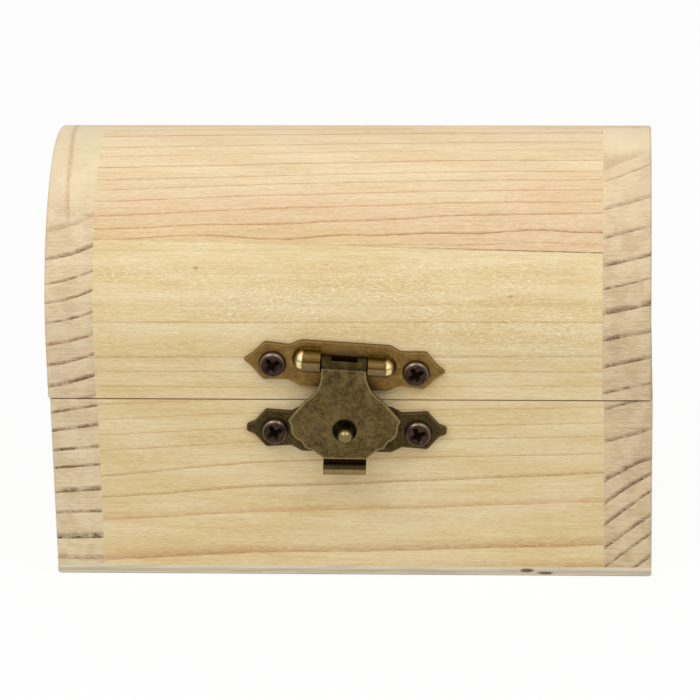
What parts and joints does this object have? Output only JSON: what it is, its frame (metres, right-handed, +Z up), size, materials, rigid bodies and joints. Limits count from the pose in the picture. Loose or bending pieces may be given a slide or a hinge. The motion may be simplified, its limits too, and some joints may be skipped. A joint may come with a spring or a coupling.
{
  "type": "treasure chest box",
  "caption": "Small bare pine keepsake chest with a half-round hinged lid and an antiqued brass hasp that hooks over a ball knob.",
  "frame": {"origin": "middle of the underside, on the surface that the chest stands on", "axes": "+X to the right as seen from the front, -Y out of the front where the hasp is, +Z up"},
  "size_m": [0.1003, 0.0639, 0.0685],
  "materials": {
    "pine": "bare sanded pine, flat-sawn face grain",
    "pine_top": "bare sanded pine, pinkish quarter-sawn grain",
    "pine_ends": "bare sanded pine with end grain to the front and back",
    "plywood": "bare thin plywood",
    "antique_brass": "antiqued, olive-brown with brighter worn edges",
    "bright_brass": "turned, polished and lightly aged",
    "gunmetal": "dark gunmetal plating"
  },
  "bodies": {
    "base": {"bottom_panel": "plywood", "catch_plate": "antique_brass", "catch_knob": "bright_brass", "catch_plate_screws": "gunmetal", "hinge_brads_body": "antique_brass", "body_front_board": "pine", "body_back_board": "pine", "body_left_end": "pine_ends", "body_right_end": "pine_ends", "hinge_left_body_leaf": "antique_brass", "hinge_left_pin": "antique_brass", "hinge_right_body_leaf": "antique_brass", "hinge_right_pin": "antique_brass"},
    "lid": {"lid_front_board": "pine", "lid_back_board": "pine", "lid_left_end": "pine_ends", "lid_right_end": "pine_ends", "lid_top_board": "pine_top", "hasp_plate": "antique_brass", "hasp_pin": "antique_brass", "hasp_plate_screws": "gunmetal", "hinge_brads_lid": "antique_brass", "hinge_left_lid_leaf": "antique_brass", "hinge_right_lid_leaf": "antique_brass"},
    "flap": {"hasp_flap": "antique_brass"}
  },
  "joints": [
    {"name": "lid_hinge", "type": "hinge", "parent": "base", "child": "lid", "pos_m": [0, 0.02895, 0.03252], "axis": [-1, 0, 0], "range_deg": [0, 170]},
    {"name": "flap_hinge", "type": "hinge", "parent": "lid", "child": "flap", "pos_m": [-0.00077, -0.02925, 0.03945], "axis": [-0.9977, 0, 0.068], "range_deg": [0, 155]}
  ]
}
